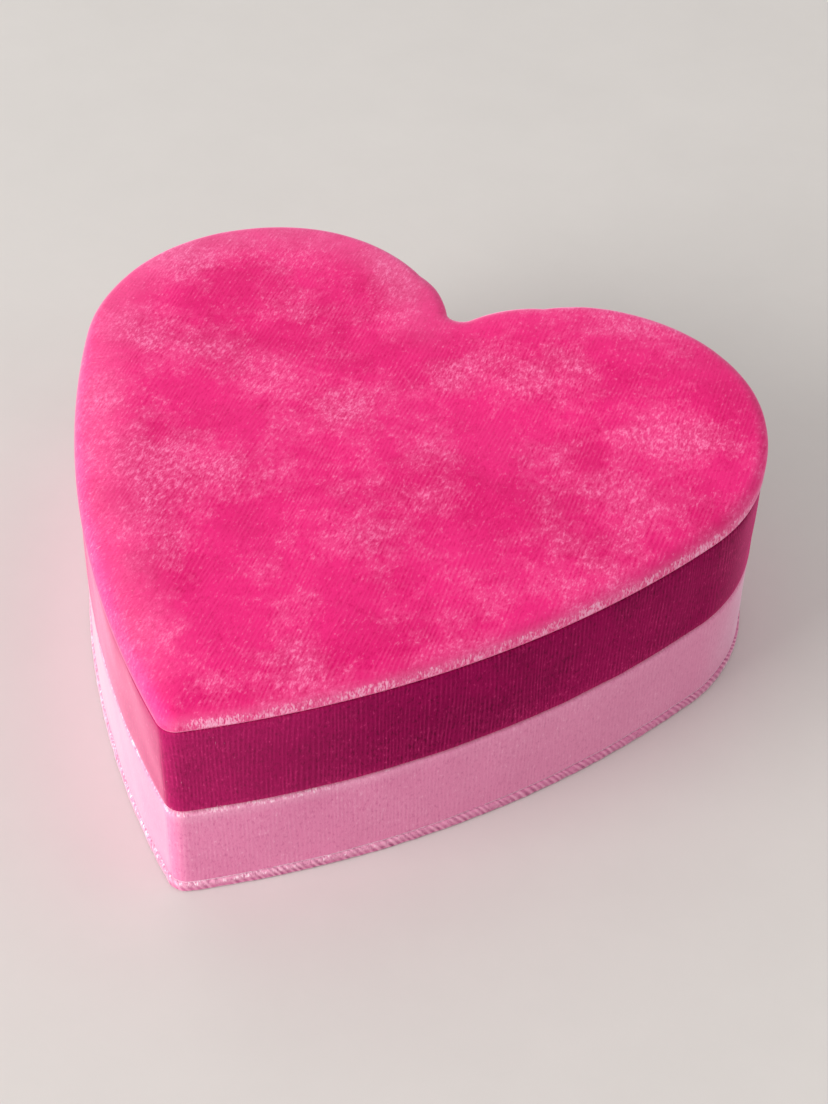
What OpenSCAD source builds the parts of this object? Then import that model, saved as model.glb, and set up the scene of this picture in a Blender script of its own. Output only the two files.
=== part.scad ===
// Heart-shaped trinket box: rigid board wrapped in velvet, with a lift-off lid.
// The base is a shallow tray with a raised inner collar, and the lid slides down over the collar
// until its edge meets the rim of the tray. Millimetres, +Z up, the point of the heart at -Y.
// Every outline is the same heart, moved in or out by a distance d from the wall's outer face,
// and each heart is built from exact arcs: two lobes, two flanks, the point and the cleft.

/* [Outline] */
// Distance from the middle line to the centre of each lobe
lobe_x = 36;          // [28:0.1:44]
// Radius of each lobe at the wall's outer face
lobe_r = 39;          // [30:0.1:46]
// Distance from the middle line to the far centre that each flank bends about
flank_x = 127.2;      // [100:0.1:150]
// How far the flanks' centres are behind the lobes' centres
flank_y = 68;         // [50:0.1:80]
// Radius of the point of the heart
tip_r = 3.8;          // [3.6:0.1:9]
// Radius of the rounding inside the cleft
cleft_r = 3.4;        // [2:0.1:6]
// The same three sizes for the inside of the tray, which bends more gently at the point
tray_flank_x = 123.6; // [100:0.1:150]
tray_flank_y = 66.5;  // [50:0.1:80]
tray_tip_r = 5.9;     // [5.8:0.1:9]

/* [Heights] */
// Height of the tray from the table to its rim
base_h = 22.8;        // [18:0.1:40]
// Height of the lid from its lower edge to its top
lid_h = 27.9;         // [20:0.1:40]
// Gap between the rim and the lid when the box is shut
seam_gap = 0.3;       // [0.2:0.1:0.8]
// How far the collar stands above the rim
collar_rise = 7;      // [4:0.5:12]

/* [Board and card] */
// Thickness of the board in the walls
wall_board = 1.8;     // [1.2:0.1:3]
// Thickness of the board in the top and bottom plates
plate_board = 1.6;    // [1.2:0.1:3]
// Thickness of the collar's board
collar_t = 1.1;       // [0.8:0.1:2]
// Thickness of the card under the tray's pad
pad_card = 1.2;       // [0.8:0.1:2]
// Thickness of the card that lines the lid's ceiling
ceiling_card = 1;     // [0.8:0.1:2]

/* [Cloth and padding] */
// Thickness of the velvet
velvet = 0.6;         // [0.4:0.1:1]
// Thickness of the satin lining where it is pulled tight
satin = 0.3;          // [0.2:0.1:0.5]
// Thickness of the short velvet inside the tray and the lid
lining = 0.5;         // [0.3:0.1:0.8]
// Thickness of the wadding under the lid's velvet, and the radius of its edge
wadding = 2.4;        // [1.5:0.1:4]
// Thickness of the foam in the tray's pad
pad_foam = 3.2;       // [2:0.1:6]
// How far the bottom plate stands out from the wall
plate_out = 0.6;      // [0.6:0.1:1.5]
// How far the top plate stands out from the wall
top_out = 0.3;        // [0.1:0.1:1]
// Clearance between the lid and the collar
slide_fit = 0.3;      // [0.2:0.1:0.6]
// Clearance round the loose pad and the ceiling panel
pad_fit = 0.3;        // [0.2:0.1:0.6]

/* [Hidden] */
$fn = 96;

// The arcs' radii and centres, with the middle of the box's length on the Y axis' zero
function flank_radius(x, y) = lobe_r + norm([lobe_x + x, y]);
function tip_below(x, y, r) = sqrt(pow(flank_radius(x, y) - r, 2) - pow(x, 2)) - y;
cleft_above = sqrt(pow(lobe_r + cleft_r, 2) - pow(lobe_x, 2));
lobe_y = (tip_below(flank_x, flank_y, tip_r) + tip_r - lobe_r) / 2;
cleft_y = lobe_y + cleft_above;

// A heart's shape from flank to flank: the flank's centre and radius, the point's centre and
// radius, and the directions in which the lobe hands over to the flank and the flank to the point
function shape(x, y, r) = [
    [x, lobe_y + y], flank_radius(x, y), lobe_y - tip_below(x, y, r), r,
    [lobe_x + x, -y] / norm([lobe_x + x, y]),
    [x, -(tip_below(x, y, r) + y)] / (flank_radius(x, y) - r)];
wall_shape = shape(flank_x, flank_y, tip_r);
tray_shape = shape(tray_flank_x, tray_flank_y, tray_tip_r);
flank_reach = 52;     // how far the flank's wedge runs past the lobe's centre
tip_reach = 25;       // how far it runs past the centre of the point

// Distances in from the wall's outer face
wall_in = velvet + wall_board;              // inner face of both wall boards
collar_out = wall_in + velvet;              // outer face of the wrapped collar
collar_core = collar_out + satin;           // outer face of the collar's board
collar_back = collar_core + collar_t;       // inner face of the collar's board
tray_in = collar_back + satin;              // inner face of the wrapped collar
pad_out = tray_in + pad_fit;                // edge of the pad's cover
pad_core = pad_out + lining;                // edge of the pad's card and foam
lid_in = wall_in + velvet - slide_fit;      // inner face of the lid's lining
panel_out = lid_in + pad_fit;               // edge of the ceiling panel's cover
panel_core = panel_out + lining;            // edge of the ceiling panel's card

// Heights above the table
plate_under = velvet;                       // underside of the bottom board
plate_top = plate_under + plate_board;      // top of the bottom board
wall_foot = plate_top + velvet;             // where the tray's wall stands
wall_head = base_h - velvet;                // top of the tray's wall board
collar_head = base_h + collar_rise;         // top of the collar's board
lid_foot = base_h + seam_gap;               // lower edge of the lid
box_h = lid_foot + lid_h;                   // top of the shut box
roll_r = wadding + velvet;                  // radius of the velvet's rolled edge
lid_board_top = box_h - roll_r;             // top of the lid's board
lid_board_under = lid_board_top - plate_board;
lid_wall_head = lid_board_under - velvet;   // where the lid's wall ends

// ---- wedges that cut each arc out of its full turn --------------------------------------
function lobe_centre(s) = [s * lobe_x, lobe_y];
function flank_centre(s, c) = [-s * c[0][0], c[0][1]];
function tip_centre(c) = [0, c[2]];
function handover(s, c) = lobe_centre(s) + flank_reach * [s * c[4][0], c[4][1]];
function handover_tip(s, c) = tip_centre(c) + tip_reach * [s * c[5][0], c[5][1]];

function lobe_wedge(s, c) = [
    lobe_centre(s), handover(s, c), lobe_centre(s) + [s * 56, 32], lobe_centre(s) + [s * 30, 62],
    lobe_centre(s) + [-s * 20, 62], lobe_centre(s) + 1.4 * [-s * lobe_x, cleft_above]];
function flank_wedge(s, c) = [tip_centre(c), handover_tip(s, c), handover(s, c), lobe_centre(s)];
function tip_wedge(c) = [
    tip_centre(c), handover_tip(-1, c), tip_centre(c) - [0, 40], handover_tip(1, c)];
cleft_wedge = [[0, cleft_y], lobe_centre(-1), lobe_centre(1)];

// ---- the heart as a flat shape, d outside the wall's outer face -----------------------------
module heart(d, c = wall_shape) {
    polygon([tip_centre(c), lobe_centre(1), lobe_centre(-1)]);
    for (s = [1, -1]) {
        intersection() {
            translate(lobe_centre(s)) circle(r = lobe_r + d);
            polygon(lobe_wedge(s, c));
        }
        intersection() {
            translate(flank_centre(s, c)) circle(r = c[1] + d);
            polygon(flank_wedge(s, c));
        }
    }
    intersection() {
        translate(tip_centre(c)) circle(r = c[3] + d);
        polygon(tip_wedge(c));
    }
    difference() {
        polygon(cleft_wedge);
        translate([0, cleft_y]) circle(r = cleft_r - d);
    }
}

// A flat heart from height z0 to z1
module plate(d, z0, z1, c = wall_shape) {
    translate([0, 0, z0]) linear_extrude(height = z1 - z0) heart(d, c);
}

// A wall between two distances in from the outer face, from z0 to z1
module wall(d_out, d_in, z0, z1, c_out = wall_shape, c_in = wall_shape) {
    translate([0, 0, z0]) linear_extrude(height = z1 - z0) difference() {
        heart(d_out, c_out);
        heart(d_in, c_in);
    }
}

// ---- a profile carried round the heart: x is outward from the wall's face, y is up ---------
module prism(points) {
    translate([0, 0, -5]) linear_extrude(height = box_h + 10) polygon(points);
}

module around() {
    c = wall_shape;
    for (s = [1, -1]) {
        intersection() {
            translate(lobe_centre(s)) rotate_extrude() translate([lobe_r, 0]) children();
            prism(lobe_wedge(s, c));
        }
        intersection() {
            translate(flank_centre(s, c)) rotate_extrude() translate([c[1], 0]) children();
            prism(flank_wedge(s, c));
        }
    }
    intersection() {
        translate(tip_centre(c)) rotate_extrude() translate([c[3], 0]) children();
        prism(tip_wedge(c));
    }
    intersection() {
        translate([0, cleft_y])
            rotate_extrude() translate([cleft_r, 0]) mirror([1, 0]) children();
        prism(cleft_wedge);
    }
}

// A rectangle given by its edges
module block(x0, x1, y0, y1) {
    translate([x0, y0]) square([x1 - x0, y1 - y0]);
}

// A quarter of a ring about (x, y): sx and sy say which way it faces
module quarter(x, y, r_out, r_in, sx, sy) {
    translate([x, y]) intersection() {
        difference() {
            circle(r = r_out);
            if (r_in > 0) circle(r = r_in);
        }
        block(min(0, sx * r_out), max(0, sx * r_out), min(0, sy * r_out), max(0, sy * r_out));
    }
}

// Cloth of thickness t folded over the top of a wall between x0 (inside) and x1 (outside)
module folded_over(x0, x1, foot, head, t) {
    block(x0, x0 + t, foot, head - t);
    block(x1 - t, x1, foot, head - t);
    block(x0 + t, x1 - t, head - t, head);
    quarter(x0 + t, head - t, t, 0, -1, 1);
    quarter(x1 - t, head - t, t, 0, 1, 1);
}

// ---- the tray ---------------------------------------------------------------------------
board_grey = "#b9b1a6";
light_pink = "#f0c3d8";
hot_pink = "#e8387f";

module base_plate_board() {
    color(board_grey) plate(plate_out - velvet, plate_under, plate_top);
}

// Velvet over the underside, round the edge and turned in under the wall
module base_plate_velvet() {
    edge = plate_out - velvet;
    color(light_pink) {
        plate(edge, 0, velvet);
        around() {
            quarter(edge, velvet, velvet, 0, 1, -1);
            block(edge, plate_out, plate_under, plate_top);
            quarter(edge, plate_top, velvet, 0, 1, 1);
        }
        wall(edge, -tray_in, plate_top, wall_foot, c_in = tray_shape);
    }
}

module base_wall_board() {
    color(board_grey) wall(-velvet, -wall_in, wall_foot, wall_head);
}

// A sleeve of velvet, over the rim and down the inside to the plate
module base_wall_velvet() {
    color(light_pink) around() folded_over(-collar_out, 0, wall_foot, base_h, velvet);
}

module collar_board() {
    color(board_grey)
        wall(-collar_core, -collar_back, wall_foot, collar_head, c_in = tray_shape);
}

// Satin on both faces of the collar and over its edge
module collar_lining() {
    color(hot_pink) {
        wall(-collar_out, -collar_core, wall_foot, collar_head);
        wall(-collar_back, -tray_in, wall_foot, collar_head, tray_shape, tray_shape);
        wall(-collar_out, -tray_in, collar_head, collar_head + satin, c_in = tray_shape);
    }
}

module floor_pad_card() {
    color(board_grey) plate(-pad_core, plate_top, plate_top + pad_card, tray_shape);
}

module floor_pad_foam() {
    z = plate_top + pad_card;
    color("#efe9dc") plate(-pad_core, z, z + pad_foam, tray_shape);
}

// Short velvet over the pad's foam and down its edge
module floor_pad_cover() {
    z = plate_top + pad_card + pad_foam;
    color(light_pink) difference() {
        plate(-pad_out, plate_top, z + lining, tray_shape);
        plate(-pad_core, plate_top - 1, z, tray_shape);
    }
}

// ---- the lid ----------------------------------------------------------------------------
module lid_wall_board() {
    color(board_grey) wall(-velvet, -wall_in, lid_foot + velvet, lid_wall_head);
}

// Velvet on the outside of the lid's wall and folded under its lower edge
module lid_wall_velvet() {
    color(hot_pink) around() {
        block(-velvet, 0, lid_foot + velvet, lid_wall_head);
        quarter(-velvet, lid_foot + velvet, velvet, 0, 1, -1);
        block(-wall_in, -velvet, lid_foot, lid_foot + velvet);
    }
}

module lid_wall_lining() {
    color("#f4a9c6") wall(-wall_in, -lid_in, lid_foot, lid_wall_head);
}

module lid_top_board() {
    color(board_grey) plate(top_out - velvet, lid_board_under, lid_board_top);
}

// Wadding with a rolled edge, on top of the board
module lid_top_padding() {
    edge = top_out - roll_r;
    color("#f3efe6") {
        plate(edge, lid_board_top, lid_board_top + wadding);
        around() quarter(edge, lid_board_top, wadding, 0, 1, 1);
    }
}

// Velvet over the wadding, down the edge and turned in under the board
module lid_top_velvet() {
    edge = top_out - velvet;
    roll_x = top_out - roll_r;
    color(hot_pink) {
        plate(roll_x, box_h - velvet, box_h);
        around() {
            quarter(roll_x, lid_board_top, roll_r, wadding, 1, 1);
            block(edge, top_out, lid_board_under, lid_board_top);
            quarter(edge, lid_board_under, velvet, 0, 1, -1);
            block(-lid_in, edge, lid_wall_head, lid_board_under);
        }
    }
}

module lid_ceiling_card() {
    color(board_grey)
        plate(-panel_core, lid_board_under - ceiling_card, lid_board_under);
}

// Short velvet over the underside and the edge of the ceiling panel
module lid_ceiling_lining() {
    z = lid_board_under - ceiling_card;
    color(light_pink) difference() {
        plate(-panel_out, z - lining, lid_board_under);
        plate(-panel_core, z, lid_board_under + 1);
    }
}

base_plate_board();
base_plate_velvet();
base_wall_board();
base_wall_velvet();
collar_board();
collar_lining();
floor_pad_card();
floor_pad_foam();
floor_pad_cover();
lid_wall_board();
lid_wall_velvet();
lid_wall_lining();
lid_top_board();
lid_top_padding();
lid_top_velvet();
lid_ceiling_card();
lid_ceiling_lining();
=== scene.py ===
import math

import bmesh
import bpy
from mathutils import Matrix, Vector, noise


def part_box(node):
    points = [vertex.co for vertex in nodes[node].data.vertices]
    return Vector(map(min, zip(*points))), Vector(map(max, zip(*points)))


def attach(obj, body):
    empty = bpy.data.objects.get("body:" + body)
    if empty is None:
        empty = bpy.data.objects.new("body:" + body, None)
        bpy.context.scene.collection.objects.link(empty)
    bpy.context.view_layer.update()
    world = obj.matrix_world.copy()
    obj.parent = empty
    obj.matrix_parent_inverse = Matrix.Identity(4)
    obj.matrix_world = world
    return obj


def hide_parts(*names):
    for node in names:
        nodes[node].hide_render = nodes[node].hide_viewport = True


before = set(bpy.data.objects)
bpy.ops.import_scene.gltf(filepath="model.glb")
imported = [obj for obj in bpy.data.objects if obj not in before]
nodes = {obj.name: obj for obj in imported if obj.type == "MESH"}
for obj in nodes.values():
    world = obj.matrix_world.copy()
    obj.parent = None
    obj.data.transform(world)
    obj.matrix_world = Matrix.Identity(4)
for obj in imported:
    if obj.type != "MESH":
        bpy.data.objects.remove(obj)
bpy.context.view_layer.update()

MM = 0.001
TURN = 2 * math.pi
scene = bpy.context.scene

# ---- the heart's outline, as the arcs that the boards are cut to ----------------------------
class Heart:
    """Lobes, flanks, point and cleft; the flank bends about a centre far across the heart."""

    LOBE_R, CLEFT_R = 39.0 * MM, 3.4 * MM
    LOBE = Vector((36.0, 33.2)) * MM
    CLEFT = Vector((0.0, 55.6)) * MM

    def __init__(self, flank, tip_y, tip_r):
        self.flank = Vector(flank) * MM
        self.tip = Vector((0.0, tip_y)) * MM
        self.tip_r = tip_r * MM
        self.flank_r = self.LOBE_R + (self.LOBE - self.flank).length
        to_lobe, to_tip = self.LOBE - self.flank, self.tip - self.flank
        self.start = math.atan2(to_lobe.y, to_lobe.x)
        end = math.atan2(to_tip.y, to_tip.x)
        rise = self.CLEFT - self.LOBE
        self.lobe_end = math.atan2(rise.y, rise.x)
        self.cleft_half = math.pi / 2 - math.atan2(rise.y, -rise.x)
        self.tip_half = math.pi / 2 + end
        self.cleft_len = self.cleft_half * self.CLEFT_R
        self.lobe_len = (self.lobe_end - self.start) * self.LOBE_R
        self.half = (self.cleft_len + self.lobe_len + (self.start - end) * self.flank_r
                     + self.tip_half * self.tip_r)
        # centre, radius and turn of each arc, in order from the cleft and back to it
        mirrored = Vector((-1, 1))
        sweep = [(self.CLEFT, self.CLEFT_R, self.cleft_half),
                 (self.LOBE, self.LOBE_R, self.start - self.lobe_end),
                 (self.flank, self.flank_r, end - self.start)]
        back = [(centre * mirrored, radius, turn) for centre, radius, turn in sweep[::-1]]
        self.arcs = sweep + [(self.tip, self.tip_r, -2 * self.tip_half)] + back

    def place(self, x, y):
        """(how far outside the wall's face, how far round from the cleft) of a place."""
        p = Vector((abs(x), y))
        c, t, lobe, f = p - self.CLEFT, p - self.tip, p - self.LOBE, p - self.flank
        if y > self.LOBE.y and math.atan2(p.x, -c.y) < self.cleft_half:
            return self.CLEFT_R - c.length, math.atan2(p.x, -c.y) * self.CLEFT_R
        turned = math.atan2(lobe.y, lobe.x)
        if turned >= self.start - 1e-9:
            along = self.cleft_len + (self.lobe_end - turned) * self.LOBE_R
            return lobe.length - self.LOBE_R, along
        if t.y < 0 and math.atan2(p.x, -t.y) < self.tip_half:
            return t.length - self.tip_r, self.half - math.atan2(p.x, -t.y) * self.tip_r
        bend = (self.start - math.atan2(f.y, f.x)) * self.flank_r
        return f.length - self.flank_r, self.cleft_len + self.lobe_len + bend


WALL = Heart((-127.2, 101.2), -68.4, 3.8)
TRAY_INSIDE = Heart((-123.6, 99.7), -65.1, 5.9)    # bends more gently at the point
outline = WALL.place


# ---- making pieces ---------------------------------------------------------------------------
def carry(points, closed, step, heart=WALL, bm=None):
    """Spins a profile of (outward, height) points, in millimetres, arc by arc round the heart."""
    bm = bm or bmesh.new()
    start = heart.CLEFT.y - heart.CLEFT_R
    verts = [bm.verts.new((0, start + d * MM, z * MM)) for d, z in points]
    pairs = list(zip(verts, verts[1:]))
    if closed:
        pairs.append((verts[-1], verts[0]))
    geom = verts + [bm.edges.new(pair) for pair in pairs]
    for (centre, radius, turn), (_, wall_radius, _) in zip(heart.arcs, WALL.arcs):
        steps = max(6, round(abs(turn) * wall_radius / (step * MM)))
        made = bmesh.ops.spin(bm, geom=geom, cent=(centre.x, centre.y, 0), axis=(0, 0, 1),
                              angle=turn, steps=steps, use_duplicate=False)
        geom = made["geom_last"]
    bmesh.ops.remove_doubles(bm, verts=bm.verts, dist=0.015 * MM)
    return bm


def boundary_loops(bm):
    """The open edges of a mesh, as one list for each loop."""
    left = {e for e in bm.edges if e.is_boundary}
    loops = []
    while left:
        loop, todo = [], [left.pop()]
        while todo:
            e = todo.pop()
            loop.append(e)
            for v in e.verts:
                near = [n for n in v.link_edges if n in left]
                left.difference_update(near)
                todo += near
        loops.append(loop)
    return loops


def loop_at(bm, z):
    """The open loop whose height is nearest to z, in millimetres."""
    return min(boundary_loops(bm), key=lambda lp: abs(lp[0].verts[0].co.z - z * MM))


def fill_flat(bm, z):
    """Closes the open loop near height z with flat triangles."""
    bmesh.ops.triangle_fill(bm, edges=loop_at(bm, z), use_beauty=True)


def fill_grid(bm, z, inset, spacing, heart=WALL):
    """Fills the open loop near height z with an even grid, and gives the grid's points."""
    rim = loop_at(bm, z)
    level = rim[0].verts[0].co.z
    before = set(bm.verts)
    half = 80 * MM
    count = round(2 * half / (spacing * MM))
    bmesh.ops.create_grid(bm, x_segments=count, y_segments=count, size=half,
                          matrix=Matrix.Translation((0, 0, level)))
    grid = [v for v in bm.verts if v not in before]
    edge = (inset + 0.55 * spacing) * MM
    outside = [v for v in grid if heart.place(v.co.x, v.co.y)[0] > -edge]
    bmesh.ops.delete(bm, geom=outside, context="VERTS")
    while True:
        grid = [v for v in bm.verts if v not in before]
        pinched = [v for v in grid
                   if sum(e.is_boundary for e in v.link_edges) > 2 or len(v.link_faces) < 1]
        if not pinched:
            break
        bmesh.ops.delete(bm, geom=pinched, context="VERTS")
    inner = [e for e in bm.edges if e.is_boundary and e.verts[0] not in before]
    bmesh.ops.triangle_fill(bm, edges=rim + inner, use_beauty=True)
    return grid


def rounded(x, z, r, start, end, steps):
    """Points on an arc about (x, z) from one angle to another, in degrees."""
    out = []
    for i in range(steps + 1):
        a = math.radians(start + (end - start) * i / steps)
        out.append((x + r * math.cos(a), z + r * math.sin(a)))
    return out


def line(x0, z0, x1, z1, steps):
    """Points from one place towards another, the last one left out."""
    return [(x0 + (x1 - x0) * i / steps, z0 + (z1 - z0) * i / steps) for i in range(steps)]


def ripple(v, size, seed):
    """Smooth noise from -1 to 1 at a place, with bumps of the given size in millimetres."""
    return noise.noise(Vector((v.x / (size * MM) + seed, v.y / (size * MM), v.z / (size * MM))))


def map_cloth(bm):
    """A UV map with the way round the heart across it and the way up the cloth, in metres."""
    uv = bm.loops.layers.uv.new("cloth")
    for face in bm.faces:
        left = face.calc_center_median().x < 0
        for loop in face.loops:
            out, along = outline(loop.vert.co.x, loop.vert.co.y)
            loop[uv].uv = (2 * WALL.half - along if left else along, loop.vert.co.z - out)


def brush_and_light(bm, how):
    """Keeps in each point how far the pile there is brushed up and painted with light, 0 to 1, by
    how(out, z, x, y).
    """
    layer = bm.verts.layers.float.new("brushed_lit")
    for v in bm.verts:
        x, y, z = (c / MM for c in v.co)
        out = outline(v.co.x, v.co.y)[0] / MM
        v[layer] = min(1.0, max(0.0, how(out, z, x, y)))


def press_and_shine(bm, marks):
    """Keeps in each point how far the pile there is pressed flat, which the shader paints as a
    paler shine, from (x, y, reach, how far).
    """
    layer = bm.verts.layers.float.new("pressed_shine")
    for v in bm.verts:
        x, y = v.co.x / MM, v.co.y / MM
        v[layer] = min(1.0, sum(amount * math.exp(-((x - mx) ** 2 + (y - my) ** 2) / reach ** 2)
                                for mx, my, reach, amount in marks))


def step_up(value, low, high):
    """A soft step from 0 at low to 1 at high."""
    t = min(1.0, max(0.0, (value - low) / (high - low)))
    return t * t * (3 - 2 * t)


def finish_piece(bm, name, body, material, replaced):
    """Makes an object of the mesh, which rides on a body in place of its plain CAD nodes."""
    bmesh.ops.recalc_face_normals(bm, faces=bm.faces)
    for face in bm.faces:
        face.smooth = True
    map_cloth(bm)
    mesh = bpy.data.meshes.new(name)
    bm.to_mesh(mesh)
    bm.free()
    piece = bpy.data.objects.new(name, mesh)
    scene.collection.objects.link(piece)
    piece.data.materials.append(material)
    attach(piece, body)
    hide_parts(*replaced)
    return piece


# ---- shader helpers --------------------------------------------------------------------------
class Nodes:
    """Adds and links nodes in one tree."""

    def __init__(self, tree):
        self.tree = tree

    def add(self, kind, inputs=None, **settings):
        node = self.tree.nodes.new(kind)
        for key, value in settings.items():
            setattr(node, key, value)
        for key, value in (inputs or {}).items():
            if isinstance(value, bpy.types.NodeSocket):
                self.tree.links.new(value, node.inputs[key])
            else:
                node.inputs[key].default_value = value
        return node

    def math(self, how, a, b=0.5, clamp=False):
        node = self.add("ShaderNodeMath", {0: a, 1: b}, operation=how, use_clamp=clamp)
        return node.outputs[0]

    def ramp(self, value, low, high, to_low=0.0, to_high=1.0):
        node = self.add("ShaderNodeMapRange", {"Value": value, "From Min": low, "From Max": high,
                                               "To Min": to_low, "To Max": to_high})
        return node.outputs["Result"]

    def mix(self, share, a, b):
        node = self.add("ShaderNodeMix", data_type="RGBA", blend_type="MIX")
        for socket, value in ((0, share), (6, a), (7, b)):
            if isinstance(value, bpy.types.NodeSocket):
                self.tree.links.new(value, node.inputs[socket])
            else:
                node.inputs[socket].default_value = value
        return node.outputs[2]

    def noise(self, vector, scale, detail=2.0, rough=0.5):
        node = self.add("ShaderNodeTexNoise", {"Vector": vector, "Scale": scale,
                                               "Detail": detail, "Roughness": rough})
        return node.outputs["Fac"]


def srgb(r, g, b):
    """A colour given as 0 to 255 for a screen, as the shader's linear colour."""
    return tuple(((c / 255 + 0.055) / 1.055) ** 2.4 if c > 10 else c / 255 / 12.92
                 for c in (r, g, b)) + (1.0,)


def socket(tree, name, kind, way="INPUT", value=None):
    made = tree.interface.new_socket(name=name, in_out=way, socket_type=kind)
    if value is not None:
        made.default_value = value


def pile_group():
    """Knitted velvet. Place is in millimetres with the ribs along its Y, and Edge is the same
    for the brushed-up pile along an edge. The brushed amount says how far the pile there stands
    up and is painted with light, the pressed amount how far it is pressed flat and painted with
    a paler shine, and Lean how dark the painted shade is in patches that lean away. Deep is the
    painted shade colour, Lit the painted lit colour and the palest colour the painted highlight
    on the pile's tips."""
    tree = bpy.data.node_groups.new("velvet_pile", "ShaderNodeTree")
    for name in ("Place", "Edge"):
        socket(tree, name, "NodeSocketVector")
    for name in ("Deep", "Body", "Lit", "Highlight"):
        socket(tree, name, "NodeSocketColor")
    for name, value in (("Rib pitch", 0.85), ("Rib depth", 0.5), ("Fibre", 0.5),
                        ("Crush size", 16.0), ("Crush", 0.5), ("Lean", 1.0), ("Pressed shine", 0.0),
                        ("Brushed lit", 0.0)):
        socket(tree, name, "NodeSocketFloat", value=value)
    socket(tree, "Color", "NodeSocketColor", "OUTPUT")
    socket(tree, "Height", "NodeSocketFloat", "OUTPUT")
    socket(tree, "Glint", "NodeSocketFloat", "OUTPUT")
    n = Nodes(tree)
    given = n.add("NodeGroupInput").outputs
    place = given["Place"]

    def stretched(vector, across, along, detail=2.0, rough=0.6, shift=0.0):
        scaled = n.add("ShaderNodeVectorMath", {0: vector, 1: (across, along, across),
                                                2: (shift, shift, shift)},
                       operation="MULTIPLY_ADD").outputs[0]
        return n.noise(scaled, 1.0, detail, rough)

    def past(value, level, gain):
        return n.math("MULTIPLY", n.math("SUBTRACT", value, level), gain, clamp=True)

    middle = 0.48    # just under the mean of a noise
    # the ribs wander a little, and fade in and out
    wander = stretched(place, 0.09, 0.02, 1.0, 0.5, 50.0)
    split = n.add("ShaderNodeSeparateXYZ", {0: place}).outputs
    across = n.math("ADD", split[0], n.ramp(wander, 0.2, 0.8, -1.2, 1.2))
    phase = n.math("MULTIPLY", n.math("DIVIDE", across, given["Rib pitch"]), TURN)
    rib = n.ramp(n.math("COSINE", phase), -1, 1, -1, 1)
    rib = n.math("MULTIPLY", rib, n.ramp(stretched(place, 0.5, 0.16, shift=7.0), 0.35, 0.65))
    # big soft patches where the pile leans another way, and smaller crushed marks in them; these
    # are painted as a paler shine below
    size = n.math("DIVIDE", 1.0, given["Crush size"])
    lean = n.noise(place, size, 2.0, 0.5)
    marks = n.noise(place, n.math("MULTIPLY", size, 4.5), 4.0, 0.6)
    crushed = n.math("ADD", n.math("MULTIPLY", lean, 0.62), n.math("MULTIPLY", marks, 0.38))
    crushed = n.math("ADD", crushed, n.math("MULTIPLY", given["Pressed shine"], 0.17))
    crushed = n.ramp(crushed, 0.47, 0.68)
    crushed = n.math("MULTIPLY", crushed, given["Crush"])
    # single tufts that catch the light, short strokes along the rib, thicker on crushed marks
    tufts = stretched(place, 1.25, 0.62, 3.0, 0.62)
    grit = stretched(place, 3.4, 1.3, 2.0, 0.6, 31.0)
    spark = n.math("ADD", n.math("MULTIPLY", tufts, 0.55), n.math("MULTIPLY", grit, 0.45))
    low = n.ramp(crushed, 0, 1, 0.575, 0.47)
    bright = n.math("MULTIPLY", past(spark, low, 9.0), given["Fibre"])
    pits = n.math("MULTIPLY", past(middle, spark, 8.0), given["Fibre"])
    # painted shade: darker between ribs, in pits and in patches where the pile leans away
    away = n.ramp(n.noise(place, n.math("MULTIPLY", size, 0.8), 3.0, 0.55), 0.42, 0.62, 0.0, 0.6)
    away = n.math("MULTIPLY", away, given["Lean"])
    shade = n.math("ADD", away, n.math("MULTIPLY", pits, 0.8))
    shade = n.math("SUBTRACT", shade, n.math("MULTIPLY", n.math("MULTIPLY", rib, 0.7),
                                             given["Rib depth"]), clamp=True)
    colour = n.mix(shade, given["Body"], given["Deep"])
    # painted highlight: crushed and pressed patches, bright tufts and rib tops mixed toward the
    # lit colour
    glow = n.math("MULTIPLY", crushed, n.ramp(spark, 0.4, 0.6, 0.2, 0.7))
    glow = n.math("ADD", glow, n.math("MULTIPLY", bright, 0.55))
    glow = n.math("ADD", glow, n.math("MULTIPLY", n.math("MULTIPLY", rib, 0.5),
                                      given["Rib depth"]), clamp=True)
    colour = n.mix(glow, colour, given["Lit"])
    # brushed edges: coarse upright strokes, painted pale at their tips as a highlight and painted
    # dark between as shade; the whole brushed band is also mixed toward the lit colour as painted
    # light
    strokes = stretched(given["Edge"], 1.5, 0.42, 2.0, 0.6, 3.0)
    hairs = stretched(given["Edge"], 3.6, 1.1, 2.0, 0.6, 17.0)
    strokes = n.math("ADD", n.math("MULTIPLY", strokes, 0.5), n.math("MULTIPLY", hairs, 0.5))
    bunch = n.ramp(stretched(given["Edge"], 0.22, 0.1, 2.0, 0.5, 5.0), 0.35, 0.65, -0.03, 0.07)
    reach = n.math("ADD", n.math("MULTIPLY", n.math("SUBTRACT", given["Brushed lit"], 1.0), 0.34),
                   bunch)
    pale = n.math("MULTIPLY", past(n.math("ADD", strokes, reach), middle, 9.0),
                  n.math("MULTIPLY", given["Brushed lit"], 1.3, clamp=True))
    gap = n.math("MULTIPLY", past(middle, strokes, 9.0),
                 n.math("MULTIPLY", given["Brushed lit"], 0.7))
    colour = n.mix(n.math("MULTIPLY", given["Brushed lit"], 0.45), colour, given["Lit"])
    colour = n.mix(gap, colour, given["Deep"])
    colour = n.mix(pale, colour, given["Highlight"])
    height = n.math("ADD", n.math("MULTIPLY", rib, given["Rib depth"]),
                    n.math("MULTIPLY", spark, n.math("MULTIPLY", given["Fibre"], 2.0)))
    height = n.math("ADD", height, n.math("MULTIPLY", strokes,
                                          n.math("MULTIPLY", given["Brushed lit"], 3.0)))
    height = n.math("ADD", height, n.math("MULTIPLY", marks, 1.5))
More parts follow.
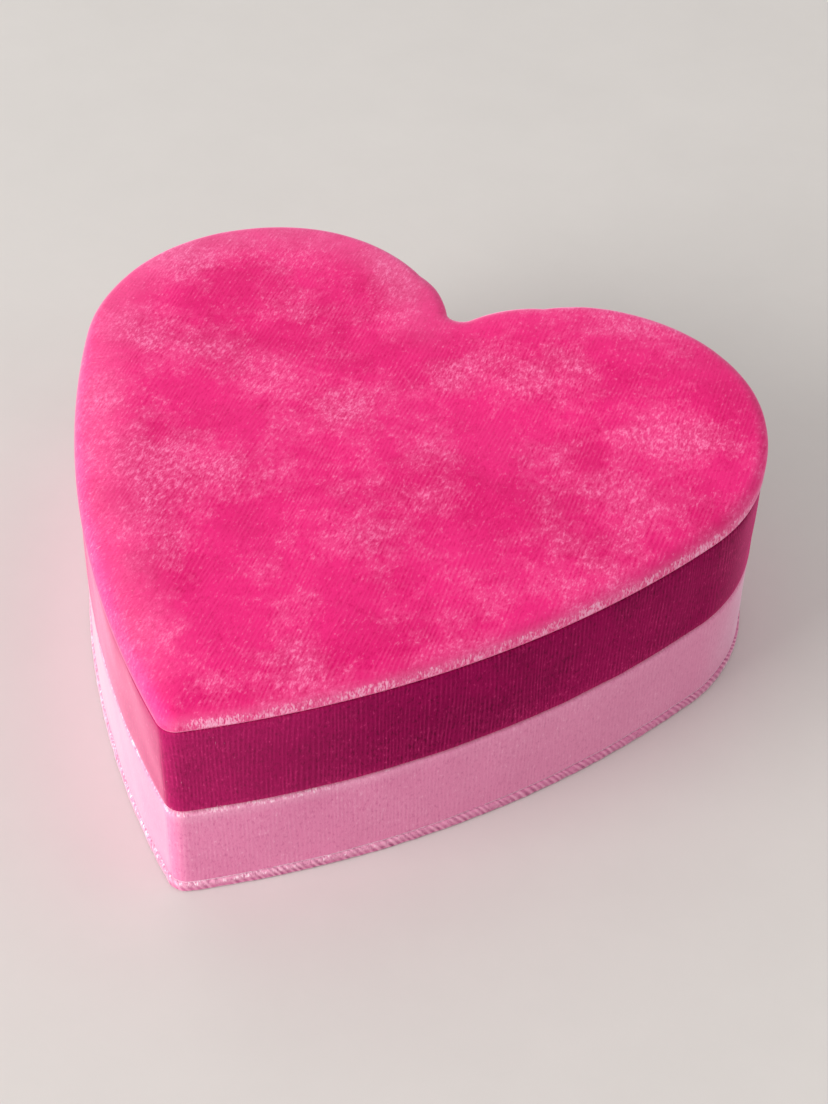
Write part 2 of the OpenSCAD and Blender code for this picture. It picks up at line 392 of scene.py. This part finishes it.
    glint = n.math("ADD", bright, pale, clamp=True)
    out = n.add("NodeGroupOutput")
    for name, value in (("Color", colour), ("Height", height), ("Glint", glint)):
        tree.links.new(value, out.inputs[name])
    return tree


PILE = pile_group()


def new_material(name):
    """A material with a Principled shader and nothing else, and the means to add nodes."""
    material = bpy.data.materials.new(name)
    material.use_nodes = True
    tree = material.node_tree
    tree.nodes.clear()
    n = Nodes(tree)
    shader = n.add("ShaderNodeBsdfPrincipled")
    out = n.add("ShaderNodeOutputMaterial")
    tree.links.new(shader.outputs[0], out.inputs["Surface"])
    return material, n, shader


def in_mm(n, turn=0.0, cloth=False):
    """Object coordinates, or the cloth's own map, in millimetres."""
    if cloth:
        source = n.add("ShaderNodeUVMap", uv_map="cloth").outputs["UV"]
    else:
        source = n.add("ShaderNodeTexCoord").outputs["Object"]
    node = n.add("ShaderNodeMapping", {"Vector": source, "Rotation": (0, 0, turn),
                                       "Scale": (1000, 1000, 1000)})
    return node.outputs["Vector"]


def velvet(name, deep, body, lit, highlight, wall=False, turn=0.0, rib=0.3, fibre=0.6, crush=0.6,
           sheen=(1, 0.75, 0.86, 1), sheen_rough=0.35, lean=1.0, pitch=0.85, graze=1.5):
    """A velvet from its painted shade colour to its painted highlight colour. graze is how strong
    the painted sheen on its pale tips is edge on.
    """
    material, n, shader = new_material(name)
    group = n.add("ShaderNodeGroup", node_tree=PILE)
    n.tree.links.new(in_mm(n, turn, wall), group.inputs["Place"])
    n.tree.links.new(in_mm(n, cloth=True), group.inputs["Edge"])
    brushed_lit = n.add("ShaderNodeAttribute", attribute_name="brushed_lit")
    n.tree.links.new(brushed_lit.outputs["Fac"], group.inputs["Brushed lit"])
    pressed_shine = n.add("ShaderNodeAttribute", attribute_name="pressed_shine")
    n.tree.links.new(pressed_shine.outputs["Fac"], group.inputs["Pressed shine"])
    for key, value in (("Deep", deep), ("Body", body), ("Lit", lit), ("Highlight", highlight),
                       ("Rib pitch", pitch), ("Rib depth", rib), ("Fibre", fibre),
                       ("Crush", crush), ("Lean", lean)):
        group.inputs[key].default_value = value
    # painted sheen: pile seen along the cloth shows its pale tips, mixed into the base colour by
    # how edge-on the surface is
    facing = n.add("ShaderNodeLayerWeight", {"Blend": 0.5}).outputs["Facing"]
    grain = n.ramp(group.outputs["Glint"], 0, 1, graze * 0.85, graze * 1.3)
    sheen_tips = n.math("MULTIPLY", n.math("POWER", facing, 8.0), grain, clamp=True)
    geometry = n.add("ShaderNodeNewGeometry")
    normal = n.add("ShaderNodeSeparateXYZ", {0: geometry.outputs["Normal"]}).outputs
    # kept off cloth that faces down, which is in shade, and weaker where the cloth faces right,
    # away from the window light at the left: painted light
    sheen_tips = n.math("MULTIPLY", sheen_tips, n.ramp(normal["Z"], -0.35, -0.05))
    sheen_tips = n.math("MULTIPLY", sheen_tips, n.ramp(normal["X"], -0.2, 0.5, 1.0, 0.2))
    colour = n.mix(sheen_tips, group.outputs["Color"], highlight)
    n.tree.links.new(colour, shader.inputs["Base Color"])
    height = n.add("ShaderNodeBump", {"Height": group.outputs["Height"], "Strength": 0.35,
                                      "Distance": 0.12 * MM})
    n.tree.links.new(height.outputs["Normal"], shader.inputs["Normal"])
    rough = n.ramp(group.outputs["Glint"], 0, 1, 0.9, 0.55)
    n.tree.links.new(rough, shader.inputs["Roughness"])
    shader.inputs["Specular IOR Level"].default_value = 0.1
    shader.inputs["Sheen Weight"].default_value = 1.0
    shader.inputs["Sheen Roughness"].default_value = sheen_rough
    shader.inputs["Sheen Tint"].default_value = sheen
    return material


def plain(name, low, high, scale, rough, bump=0.2):
    """Board, satin and the floor: a mottled colour with a slight grain."""
    material, n, shader = new_material(name)
    grain = n.noise(in_mm(n), scale, 6.0, 0.7)
    n.tree.links.new(n.mix(n.ramp(grain, 0.3, 0.7), low, high), shader.inputs["Base Color"])
    height = n.add("ShaderNodeBump", {"Height": grain, "Strength": bump,
                                      "Distance": 0.1 * MM})
    n.tree.links.new(height.outputs["Normal"], shader.inputs["Normal"])
    shader.inputs["Roughness"].default_value = rough
    return material


HOT = velvet("hot_pink_velvet", srgb(212, 6, 100), srgb(238, 36, 124), srgb(255, 134, 186),
             srgb(255, 176, 210), turn=math.radians(-6), rib=0.14, fibre=0.8,
             sheen=(1, 0.42, 0.66, 1))
# a darker copy of the hot pink velvet for the walls: its colours are painted shade for walls seen
# face on
HOT_WALL_SHADED = velvet("hot_pink_velvet_wall_shaded", srgb(100, 0, 50), srgb(150, 0, 78),
                  srgb(226, 60, 130), srgb(255, 184, 208), wall=True, rib=0.3, crush=0.25,
                  fibre=1.0, lean=0.6, sheen=(1, 0.05, 0.32, 1), sheen_rough=0.28, graze=2.3)
PALE = velvet("pale_pink_velvet", srgb(204, 100, 148), srgb(228, 132, 174),
              srgb(252, 192, 218), srgb(255, 218, 234), wall=True, rib=0.16, crush=0.2,
              fibre=0.9, lean=0.25, sheen=(1, 0.76, 0.9, 1), graze=1.8)
# the pale velvet with a darker shade colour, a brighter lit colour and deep ribs for the plate's
# edge roll: the strokes are real, their bright bead tops and the dark between them are painted
# highlight and painted shade
PALE_EDGE = velvet("pale_pink_velvet_edge", srgb(152, 56, 106), srgb(216, 120, 164),
                   srgb(255, 200, 222), srgb(255, 232, 243), wall=True, rib=0.9, fibre=0.6,
                   turn=math.radians(32), pitch=1.15, crush=0.2, lean=0.3,
                   sheen=(1, 0.8, 0.9, 1))
TRAY = velvet("tray_velvet", srgb(200, 90, 138), srgb(226, 126, 170), srgb(252, 180, 212),
              srgb(255, 205, 228), rib=0.1, crush=0.5, fibre=0.4, turn=math.radians(9))
SATIN = plain("pink_satin", srgb(226, 120, 158), srgb(240, 146, 180), 0.4, rough=0.35)
BOARD = plain("greyboard", srgb(150, 142, 130), srgb(184, 176, 164), 1.4, rough=0.9)

# ---- pieces ----------------------------------------------------------------------------------
# heights of the boards and cloths, in millimetres
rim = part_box("base_wall_velvet")[1].z / MM
wall_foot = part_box("base_wall_velvet")[0].z / MM
plate_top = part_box("base_plate_board")[1].z / MM
collar_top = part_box("collar_lining")[1].z / MM
lid_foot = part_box("lid_wall_velvet")[0].z / MM
lid_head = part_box("lid_wall_velvet")[1].z / MM
board_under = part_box("lid_top_board")[0].z / MM
board_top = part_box("lid_top_board")[1].z / MM
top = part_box("lid_top_velvet")[1].z / MM
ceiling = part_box("lid_ceiling_lining")[0].z / MM
pad_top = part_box("floor_pad_cover")[1].z / MM
# faces of the wall's layers, in millimetres outside the outer face of its cloth
board_out, board_in, cloth_in = -0.6, -2.4, -3.0
cloth = 0.6          # thickness of a velvet
turn_in = -3.4       # how far in the plate's velvet reaches


def soften(bm, amount, size, seed, outer=-0.3):
    """Lets the outer face of a stretched cloth wander in and out a little."""
    bm.normal_update()
    for v in bm.verts:
        if outline(v.co.x, v.co.y)[0] > outer * MM:
            v.co += v.normal * (amount * MM * ripple(v.co, size, seed))


def make_plate_cover():
    """Velvet round the bottom board: under it, up its edge and turned in on top."""
    edge, r, roll_top, foot_r = 0.6, 1.0, wall_foot - 0.4, 0.5
    points = ([(turn_in, cloth), (0, cloth), (0, plate_top), (turn_in, plate_top),
               (turn_in, wall_foot)]
              + line(cloth_in, wall_foot, -0.1, wall_foot, 3) + [(-0.1, wall_foot)]
              + rounded(edge - r, roll_top - r, r, 65, 0, 6) + [(edge, 1.0)]
              + rounded(edge - foot_r, foot_r, foot_r, 0, -90, 4)
              + [(-2.2, 0), (turn_in, 0)])
    bm = carry(points, False, 0.5)
    fill_flat(bm, cloth)
    fill_flat(bm, 0)
    soften(bm, 0.12, 2.0, 11.0, 0.0)
    for v in bm.verts:
        v.co.z = max(v.co.z, 0.0)

    # painted light: the upper half of the edge roll is pale, the lower half is left in shade, and
    # it is weaker towards the right, away from the window
    def brushed_light(out, z, x, _):
        roll = step_up(out, -0.5, 0.1) * step_up(z, 0.9, 1.7)
        return roll * (0.8 - 0.6 * step_up(x, 15, 60))

    brush_and_light(bm, brushed_light)
    piece = finish_piece(bm, "base_plate_cover", "base", PALE_EDGE,
                         ["base_plate_velvet"])


def make_base_sleeve():
    """Velvet on the tray's wall, over the rim and down inside to the plate."""
    r, inner_r = 1.1, 0.5
    hem = wall_foot - 0.4
    points = ([(board_out, wall_foot), (0, wall_foot), (0.02, hem), (0.12, hem),
               (0.12, wall_foot)]
              + line(0.04, wall_foot + 1.5, 0, rim - r, 9)
              + rounded(-r, rim - r, r, 0, 90, 6)
              + rounded(cloth_in + inner_r, rim - inner_r, inner_r, 90, 180, 3)
              + [(cloth_in, wall_foot), (board_in, wall_foot), (board_in, rim - cloth),
                 (board_out, rim - cloth)])
    bm = carry(points, True, 0.8)
    soften(bm, 0.16, 9.0, 3.0)

    # painted light: pale strokes on the rim's roll, weaker to the right away from the window, and
    # the wall painted lighter towards the right
    def brushed_light(out, z, x, _):
        roll = step_up(z, rim - 1.9, rim - 0.5) * step_up(out, -1.6, -1.0)
        return roll * (0.9 - 0.65 * step_up(x, 12, 50)) + 0.3 * step_up(x, 20, 70)

    brush_and_light(bm, brushed_light)
    piece = finish_piece(bm, "base_sleeve", "base", PALE,
                         ["base_wall_velvet"])


def make_lid_sleeve():
    """Velvet on the lid's wall, folded in under its foot."""
    foot_r = 0.85
    points = ([(board_out, lid_head), (board_out, lid_foot + cloth),
               (board_in, lid_foot + cloth), (board_in, lid_foot)]
              + rounded(-foot_r, lid_foot + foot_r, foot_r, -90, 0, 5)
              + line(0, lid_foot + 2, 0, lid_head - 1.8, 9)
              + rounded(-0.9, lid_head - 1.0, 0.9, 0, 75, 4))
    bm = carry(points, True, 0.8)
    soften(bm, 0.16, 9.0, 7.0)

    # paler brushed strokes along the foot, and painted light on the wall near the point, where
    # the window light falls
    def brushed_light(_, z, x, y):
        from_point = math.hypot(x, y + 68)
        return (0.3 * step_up(lid_foot + 2.2 - z, 0, 2.0)
                + 0.42 * (1 - step_up(from_point, 3, 50)))

    brush_and_light(bm, brushed_light)
    piece = finish_piece(bm, "lid_sleeve", "lid", HOT_WALL_SHADED,
                         ["lid_wall_velvet"])


def make_lid_lining():
    """Satin on the inside of the lid's wall."""
    face = -2.7
    points = ([(board_in, lid_foot), (board_in, lid_head), (face, lid_head)]
              + line(face, lid_head - 2, face, lid_foot, 6) + [(face, lid_foot)])
    bm = carry(points, True, 1.2)
    piece = finish_piece(bm, "lid_lining", "lid", SATIN, ["lid_wall_lining"])


def make_collar_wrap():
    """Satin up the collar's inside, over its edge and down its outside."""
    head, under, r = collar_top, collar_top - 0.3, 0.5
    collar_out, collar_in, wrap_in = -3.3, -4.4, -4.7
    bm = carry([(collar_out, under), (collar_out, wall_foot), (cloth_in, wall_foot)]
               + line(cloth_in, wall_foot + 3, cloth_in, head - r, 6)
               + rounded(cloth_in - r, head - r, r, 0, 90, 4), False, 1.2)
    carry([(collar_in, under), (collar_in, wall_foot), (wrap_in, wall_foot)]
          + line(wrap_in, wall_foot + 3, wrap_in, head - r, 6)
          + rounded(wrap_in + r, head - r, r, 180, 90, 4), False, 1.2, TRAY_INSIDE, bm)
    for z in (under, head):
        pair = [e for lp in boundary_loops(bm) for e in lp
                if abs(lp[0].verts[0].co.z - z * MM) < 0.1 * MM]
        bmesh.ops.triangle_fill(bm, edges=pair, use_beauty=True)
    piece = finish_piece(bm, "collar_wrap", "base", SATIN, ["collar_lining"])


# the lid's cover: how far past the wall it reaches, its edge's radius, the width of its fall
cover_edge, cover_roll, cover_fall = 0.3, 2.5, 13


def near_edge(d):
    """0 on the flat of the lid's cover and 1 at its edge, d millimetres outside the wall."""
    return min(1.0, max(0.0, (d + cover_fall) / (cover_fall + cover_edge))) ** 2.2


def cover_height(d):
    """Height of the lid's padded top, d millimetres outside the wall's face."""
    drop = 0.5 * near_edge(d)
    if d > cover_edge - cover_roll:
        in_roll = d - cover_edge + cover_roll
        drop += cover_roll - math.sqrt(max(0.0, cover_roll ** 2 - in_roll ** 2))
    return top - drop


# where the lid's pile has been pressed flat, with a painted paler shine: x, y, reach and how far
PRESSED_SHINE = [(-42, 65, 8, 1.0), (-21, 63, 9, 1.0), (-67, 46, 8, 0.7), (-63, 22, 8, 0.9),
           (-32, -22, 11, 1.0), (-41, -8, 13, 0.7), (-25, 38, 8, 0.6), (-27, 21, 8, 0.6),
           (7, 35, 8, 0.8), (63, 40, 8, 1.0), (18, 65, 9, 0.6), (36, 70, 11, 0.9),
           (15, 0, 9, 0.5), (43, 28, 12, 0.4), (-12, 18, 8, 0.5), (50, 2, 9, 0.5)]


def settle_cover(v):
    """The wadding is thinner along the left flank and fuller at the back of the lobes, most
    of all the right one, and the velvet is drawn straight across the cleft."""
    x, y = v.co.x / MM, v.co.y / MM
    near = near_edge(outline(v.co.x, v.co.y)[0] / MM)
    padded = step_up(v.co.z / MM, board_top - 1.5, board_top + 0.8)
    fuller = step_up(y, 25, 62) * (0.7 + 1.3 * step_up(x, 0, 25))
    thinner = 1.4 * near * step_up(-x - 0.35 * y, 0, 50)
    v.co.z += MM * padded * (fuller - thinner)
    v.co.y += MM * padded * near * fuller * 0.7
    cleft = max(0.0, 1 - (x / 15) ** 2) * step_up(y, 34, 48)
    drawn = step_up(v.co.z / MM, lid_head + 0.2, board_top)
    v.co.y += MM * 3.2 * drawn * near * cleft
    v.co.x -= MM * 1.6 * drawn * near * cleft


def make_lid_top():
    """Velvet drawn over the wadding, down the board's edge and turned in under it."""
    roll = [cover_edge - cover_roll * (1 - math.cos(math.radians(a)))
            for a in (12, 26, 40, 54, 68, 82)]
    under_in, inner, foot_r = -2.7, -3.3, 0.9
    points = ([(-0.3, board_top), (-0.3, board_under), (under_in, board_under),
               (under_in, lid_head), (-1.2, lid_head)]
              + rounded(cover_edge - foot_r, lid_head + foot_r, foot_r, -90, 0, 5)
              + [(d, cover_height(d)) for d in roll + [under_in, inner]])
    bm = carry(points, False, 0.7)
    fill_flat(bm, board_top)
    grid = fill_grid(bm, cover_height(inner), -inner, 0.9)
    for v in grid:
        v.co.z = cover_height(outline(v.co.x, v.co.y)[0] / MM) * MM
    for v in bm.verts:
        if v.co.z > (board_top + 0.2) * MM:
            inside = min(1.0, max(0.0, -outline(v.co.x, v.co.y)[0] / (9 * MM)))
            flat = Vector((v.co.x, v.co.y, 0))
            v.co.z += MM * (0.05 + 0.22 * inside) * ripple(flat, 17, 5.0)
            v.co.z += MM * 0.06 * ripple(flat, 4.5, 9.0)
    for v in bm.verts:
        if v.co.z > lid_head * MM:
            settle_cover(v)

    # painted light: a pale band on the edge roll where it catches the light, mostly on the right,
    # and a painted glow on the left shoulder that faces the window
    def brushed_light(out, z, x, _):
        side = (step_up(z, lid_head + 0.3, lid_head + 0.8)
                * (1 - 0.9 * step_up(z, lid_head + 2.2, top - 0.7)) * step_up(out, -3.0, -1.2)
                * (0.15 + 0.85 * step_up(x, -6, 6)))
        left = (0.48 * step_up(out, -15, -3) * step_up(-x, -4, 14)
                * step_up(z, lid_head + 1, lid_head + 2))
        return side + left

    brush_and_light(bm, brushed_light)
    press_and_shine(bm, PRESSED_SHINE)
    piece = finish_piece(bm, "lid_top_cover", "lid", HOT,
                         ["lid_top_velvet", "lid_top_padding"])


def make_floor_pad():
    """The loose pad on the tray's floor: velvet over foam, crowned towards its middle."""
    def height(d):
        return pad_top - 1.4 * max(0.0, (d + 15.2) / 10) ** 2.2
    edge, flat_edge = -5.2, -5.7
    points = [(flat_edge, plate_top), (edge - 0.15, plate_top), (edge, plate_top + 0.3),
              (edge, pad_top - 2.2), (edge - 0.12, pad_top - 1.7),
              (flat_edge, height(flat_edge))]
    bm = carry(points, False, 1.2, TRAY_INSIDE)
    fill_flat(bm, plate_top)
    grid = fill_grid(bm, height(flat_edge), -flat_edge, 1.3, TRAY_INSIDE)
    for v in grid:
        v.co.z = height(TRAY_INSIDE.place(v.co.x, v.co.y)[0] / MM) * MM
        v.co.z += 0.15 * MM * ripple(Vector((v.co.x, v.co.y, 0)), 14, 2.0)
    piece = finish_piece(bm, "floor_pad", "base", TRAY,
                         ["floor_pad_cover", "floor_pad_foam", "floor_pad_card"])


def make_ceiling():
    """Velvet over the card that lines the lid's ceiling."""
    edge, flat_edge = -3.0, -3.5
    points = [(flat_edge, board_under), (edge, board_under), (edge, ceiling + 0.5),
              (edge - 0.15, ceiling + 0.15), (flat_edge, ceiling)]
    bm = carry(points, False, 1.2)
    fill_flat(bm, board_under)
    grid = fill_grid(bm, ceiling, -flat_edge, 1.3)
    for v in grid:
        v.co.z += 0.1 * MM * ripple(Vector((v.co.x, v.co.y, 0)), 12, 8.0)
    piece = finish_piece(bm, "ceiling_panel", "lid", TRAY,
                         ["lid_ceiling_lining", "lid_ceiling_card"])


# ---- camera, light and floor ----------------------------------------------------------------
def make_camera():
    lens, back_off, tilt = 72.04, 0.4783, 0.0185
    azimuth, rise = 0.4425, 0.7396
    aim = Vector((-3.94, 24.84, 25.5)) * MM
    away = Vector((math.sin(azimuth) * math.cos(rise), -math.cos(azimuth) * math.cos(rise),
                   math.sin(rise)))
    data = bpy.data.cameras.new("camera")
    data.lens = lens
    data.sensor_width = 36
    data.shift_x, data.shift_y = 0.0295, -0.0609
    data.clip_start, data.clip_end = 0.01, 20
    camera = bpy.data.objects.new("camera", data)
    scene.collection.objects.link(camera)
    camera.location = aim + away * back_off
    turned = (-away).to_track_quat("-Z", "Y").to_matrix().to_4x4()
    camera.matrix_world = (Matrix.Translation(camera.location) @ turned
                           @ Matrix.Rotation(tilt, 4, "Z"))
    scene.camera = camera


def area_light(name, place, aim, size, power, colour):
    data = bpy.data.lights.new(name, "AREA")
    data.shape, data.size, data.energy, data.color = "DISK", size, power, colour
    light = bpy.data.objects.new(name, data)
    scene.collection.objects.link(light)
    place = Vector(place)
    light.matrix_world = (Matrix.Translation(place) @
                          (Vector(aim) - place).to_track_quat("-Z", "Y").to_matrix().to_4x4())


def make_room():
    """A pale floor, an even sky and one large window at the front left."""
    bm = bmesh.new()
    bmesh.ops.create_grid(bm, x_segments=2, y_segments=2, size=3.0)
    mesh = bpy.data.meshes.new("floor")
    bm.to_mesh(mesh)
    bm.free()
    floor = bpy.data.objects.new("floor", mesh)
    scene.collection.objects.link(floor)
    floor.data.materials.append(plain("pale_floor", srgb(213, 209, 206), srgb(217, 213, 210),
                                      0.02, rough=0.6, bump=0.0))
    world = bpy.data.worlds.new("world")
    world.use_nodes = True
    sky = world.node_tree.nodes["Background"].inputs
    sky["Color"].default_value = (1.0, 0.985, 0.97, 1)
    sky["Strength"].default_value = 0.7
    scene.world = world
    area_light("window", (-1.0, -1.32, 0.68), (0, 0, 0.03), 1.1, 32.0, (1.0, 0.985, 0.96))
    scene.view_settings.view_transform = "Standard"


make_camera()
make_room()
# the boards show as greyboard, and the pieces made here have their own materials
for piece in nodes.values():
    piece.data.materials.clear()
    piece.data.materials.append(BOARD)
make_plate_cover()
make_base_sleeve()
make_lid_sleeve()
make_lid_lining()
make_collar_wrap()
make_lid_top()
make_floor_pad()
make_ceiling()
